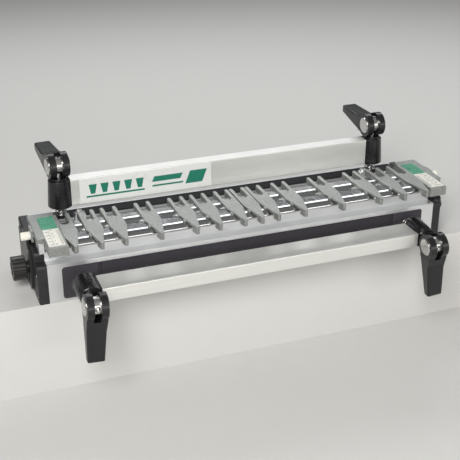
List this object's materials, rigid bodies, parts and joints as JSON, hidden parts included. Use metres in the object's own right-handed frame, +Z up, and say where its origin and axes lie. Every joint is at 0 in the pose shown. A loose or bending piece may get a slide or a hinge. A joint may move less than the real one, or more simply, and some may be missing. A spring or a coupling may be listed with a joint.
{
  "type": "dovetail jig",
  "caption": "Router dovetail jig: stepped hollow body, clamp bars with cam levers in front and on top, and a row of sliding guide fingers between end brackets.",
  "frame": {"origin": "centre of the body's underside, on the bench", "axes": "+X along the jig to the right, +Y from the clamping front to the back, +Z up"},
  "size_m": [0.6268, 0.2842, 0.202],
  "materials": {
    "body_aluminium": "satin",
    "plate_plastic": "satin",
    "stop_aluminium": "satin",
    "bracket_paint": "satin",
    "bar_aluminium": "satin",
    "arm_aluminium": "satin",
    "cast_finger": "satin",
    "steel": "satin",
    "bright_screws": "polished",
    "spring_steel": "satin",
    "grip_rubber": "matte",
    "rear_grip_rubber": "matte",
    "black_plastic": "satin",
    "knob_plastic": "satin",
    "thumb_plastic": "satin",
    "scale_print": "gloss",
    "badge_print": "gloss"
  },
  "bodies": {
    "base": {"body_extrusion": "body_aluminium", "end_plate_left": "plate_plastic", "end_plate_right": "plate_plastic", "end_plate_screws": "bright_screws", "front_grip_strip": "grip_rubber", "front_pad_left": "grip_rubber", "front_pad_right": "grip_rubber", "rear_grip_strip": "rear_grip_rubber", "front_clamp_rods": "steel", "rear_clamp_rods": "steel", "rod_nuts": "steel", "front_clamp_springs": "spring_steel", "rear_clamp_springs": "spring_steel"},
    "front_clamp": {"front_clamp_bar": "bar_aluminium", "front_clamp_end_left": "black_plastic", "front_clamp_end_right": "black_plastic"},
    "rear_clamp": {"rear_clamp_bar": "bar_aluminium", "rear_clamp_end_left": "black_plastic", "rear_clamp_end_right": "black_plastic", "rear_bar_badge": "badge_print"},
    "front_cam_left": {"front_cam_pin_left": "steel"},
    "front_lever_left": {"front_cam_lever_left": "black_plastic"},
    "rear_cam_left": {"rear_cam_pin_left": "steel"},
    "rear_lever_left": {"rear_cam_lever_left": "black_plastic"},
    "front_cam_right": {"front_cam_pin_right": "steel"},
    "front_lever_right": {"front_cam_lever_right": "black_plastic"},
    "rear_cam_right": {"rear_cam_pin_right": "steel"},
    "rear_lever_right": {"rear_cam_lever_right": "black_plastic"},
    "stop_left": {"side_stop_left": "stop_aluminium"},
    "stop_right": {"side_stop_right": "stop_aluminium"},
    "bracket_left": {"support_bracket_left": "bracket_paint", "bracket_arm_left": "arm_aluminium"},
    "bracket_right": {"support_bracket_right": "bracket_paint", "bracket_arm_right": "arm_aluminium"},
    "finger_frame": {"finger_bar_front": "bar_aluminium", "finger_bar_rear": "bar_aluminium", "finger_bar_screws": "bright_screws", "scale_block_left": "cast_finger", "scale_block_right": "cast_finger", "scale_label_left": "scale_print", "scale_label_right": "scale_print", "end_finger_left": "cast_finger", "end_finger_right": "cast_finger"},
    "thumb_left": {"thumbscrew_left": "thumb_plastic"},
    "knob_left": {"bracket_knob_left": "knob_plastic"},
    "thumb_right": {"thumbscrew_right": "thumb_plastic"},
    "knob_right": {"bracket_knob_right": "knob_plastic"},
    "finger_01": {"guide_finger_01": "cast_finger"},
    "finger_02": {"guide_finger_02": "cast_finger"},
    "finger_03": {"guide_finger_03": "cast_finger"},
    "finger_04": {"guide_finger_04": "cast_finger"},
    "finger_05": {"guide_finger_05": "cast_finger"},
    "finger_06": {"guide_finger_06": "cast_finger"},
    "finger_07": {"guide_finger_07": "cast_finger"},
    "finger_08": {"guide_finger_08": "cast_finger"},
    "finger_09": {"guide_finger_09": "cast_finger"},
    "finger_10": {"guide_finger_10": "cast_finger"},
    "finger_11": {"guide_finger_11": "cast_finger"},
    "finger_12": {"guide_finger_12": "cast_finger"}
  },
  "joints": [
    {"name": "front_clamp_slide", "type": "slide", "parent": "base", "child": "front_clamp", "axis": [0, -1, 0], "range_m": [-0.012, 0.009], "deforming": ["front_clamp_springs"]},
    {"name": "rear_clamp_slide", "type": "slide", "parent": "base", "child": "rear_clamp", "axis": [0, 0, 1], "range_m": [-0.012, 0.009], "deforming": ["rear_clamp_springs"]},
    {"name": "front_cam_swivel_left", "type": "hinge", "parent": "front_clamp", "child": "front_cam_left", "pos_m": [-0.2335, -0.1426, 0.0305], "axis": [0, -1, 0], "range_deg": [-90, 90]},
    {"name": "front_lever_left_open", "type": "hinge", "parent": "front_cam_left", "child": "front_lever_left", "pos_m": [-0.2335, -0.1426, 0.0305], "axis": [-0.9979, 0, 0.0654], "range_deg": [0, 95]},
    {"name": "rear_cam_swivel_left", "type": "hinge", "parent": "rear_clamp", "child": "rear_cam_left", "pos_m": [-0.2335, 0.0487, 0.1396], "axis": [0, 0, 1], "range_deg": [-90, 90]},
    {"name": "rear_lever_left_open", "type": "hinge", "parent": "rear_cam_left", "child": "rear_lever_left", "pos_m": [-0.2335, 0.0487, 0.1396], "axis": [0.9969, 0.0785, 0], "range_deg": [0, 95]},
    {"name": "front_cam_swivel_right", "type": "hinge", "parent": "front_clamp", "child": "front_cam_right", "pos_m": [0.2335, -0.1426, 0.0305], "axis": [0, -1, 0], "range_deg": [-90, 90]},
    {"name": "front_lever_right_open", "type": "hinge", "parent": "front_cam_right", "child": "front_lever_right", "pos_m": [0.2335, -0.1426, 0.0305], "axis": [-0.9979, 0, -0.0654], "range_deg": [0, 95]},
    {"name": "rear_cam_swivel_right", "type": "hinge", "parent": "rear_clamp", "child": "rear_cam_right", "pos_m": [0.2335, 0.0487, 0.1396], "axis": [0, 0, 1], "range_deg": [-90, 90]},
    {"name": "rear_lever_right_open", "type": "hinge", "parent": "rear_cam_right", "child": "rear_lever_right", "pos_m": [0.2335, 0.0487, 0.1396], "axis": [1, 0, 0], "range_deg": [0, 95]},
    {"name": "stop_left_slide", "type": "slide", "parent": "base", "child": "stop_left", "axis": [1, 0, 0], "range_m": [-0.004, 0.03]},
    {"name": "stop_right_slide", "type": "slide", "parent": "base", "child": "stop_right", "axis": [1, 0, 0], "range_m": [-0.03, 0.004]},
    {"name": "bracket_left_height", "type": "slide", "parent": "base", "child": "bracket_left", "axis": [0, 0, 1], "range_m": [-0.0035, 0.02]},
    {"name": "bracket_right_height", "type": "slide", "parent": "base", "child": "bracket_right", "axis": [0, 0, 1], "range_m": [-0.0035, 0.02]},
    {"name": "finger_frame_depth", "type": "slide", "parent": "bracket_left", "child": "finger_frame", "axis": [0, 1, 0], "range_m": [-0.02, 0.0164]},
    {"name": "thumb_left_turn", "type": "hinge", "parent": "finger_frame", "child": "thumb_left", "pos_m": [-0.29, -0.029, 0.081], "axis": [1, 0, 0], "continuous": true},
    {"name": "knob_left_turn", "type": "hinge", "parent": "base", "child": "knob_left", "pos_m": [-0.292, -0.0165, 0.0315], "axis": [1, 0, 0], "continuous": true},
    {"name": "thumb_right_turn", "type": "hinge", "parent": "finger_frame", "child": "thumb_right", "pos_m": [0.29, -0.029, 0.081], "axis": [1, 0, 0], "continuous": true},
    {"name": "knob_right_turn", "type": "hinge", "parent": "base", "child": "knob_right", "pos_m": [0.292, -0.0165, 0.0315], "axis": [1, 0, 0], "continuous": true},
    {"name": "finger_01_slide", "type": "slide", "parent": "finger_frame", "child": "finger_01", "axis": [1, 0, 0], "range_m": [-0.0102, 0.0081]},
    {"name": "finger_02_slide", "type": "slide", "parent": "finger_frame", "child": "finger_02", "axis": [1, 0, 0], "range_m": [-0.0081, 0.0238]},
    {"name": "finger_03_slide", "type": "slide", "parent": "finger_frame", "child": "finger_03", "axis": [1, 0, 0], "range_m": [-0.0238, 0.0245]},
    {"name": "finger_04_slide", "type": "slide", "parent": "finger_frame", "child": "finger_04", "axis": [1, 0, 0], "range_m": [-0.0245, 0.0088]},
    {"name": "finger_05_slide", "type": "slide", "parent": "finger_frame", "child": "finger_05", "axis": [1, 0, 0], "range_m": [-0.0088, 0.0122]},
    {"name": "finger_06_slide", "type": "slide", "parent": "finger_frame", "child": "finger_06", "axis": [1, 0, 0], "range_m": [-0.0122, 0.0013]},
    {"name": "finger_07_slide", "type": "slide", "parent": "finger_frame", "child": "finger_07", "axis": [1, 0, 0], "range_m": [-0.0013, 0.0009]},
    {"name": "finger_08_slide", "type": "slide", "parent": "finger_frame", "child": "finger_08", "axis": [1, 0, 0], "range_m": [-0.0009, 0.0163]},
    {"name": "finger_09_slide", "type": "slide", "parent": "finger_frame", "child": "finger_09", "axis": [1, 0, 0], "range_m": [-0.0163, 0.0333]},
    {"name": "finger_10_slide", "type": "slide", "parent": "finger_frame", "child": "finger_10", "axis": [1, 0, 0], "range_m": [-0.0333, 0.0334]},
    {"name": "finger_11_slide", "type": "slide", "parent": "finger_frame", "child": "finger_11", "axis": [1, 0, 0], "range_m": [-0.0334, 0.0152]},
    {"name": "finger_12_slide", "type": "slide", "parent": "finger_frame", "child": "finger_12", "axis": [1, 0, 0], "range_m": [-0.0152, 0.0117]}
  ],
  "couplings": [
    {"joint": "bracket_right_height", "follows": "bracket_left_height", "ratio": 1}
  ]
}
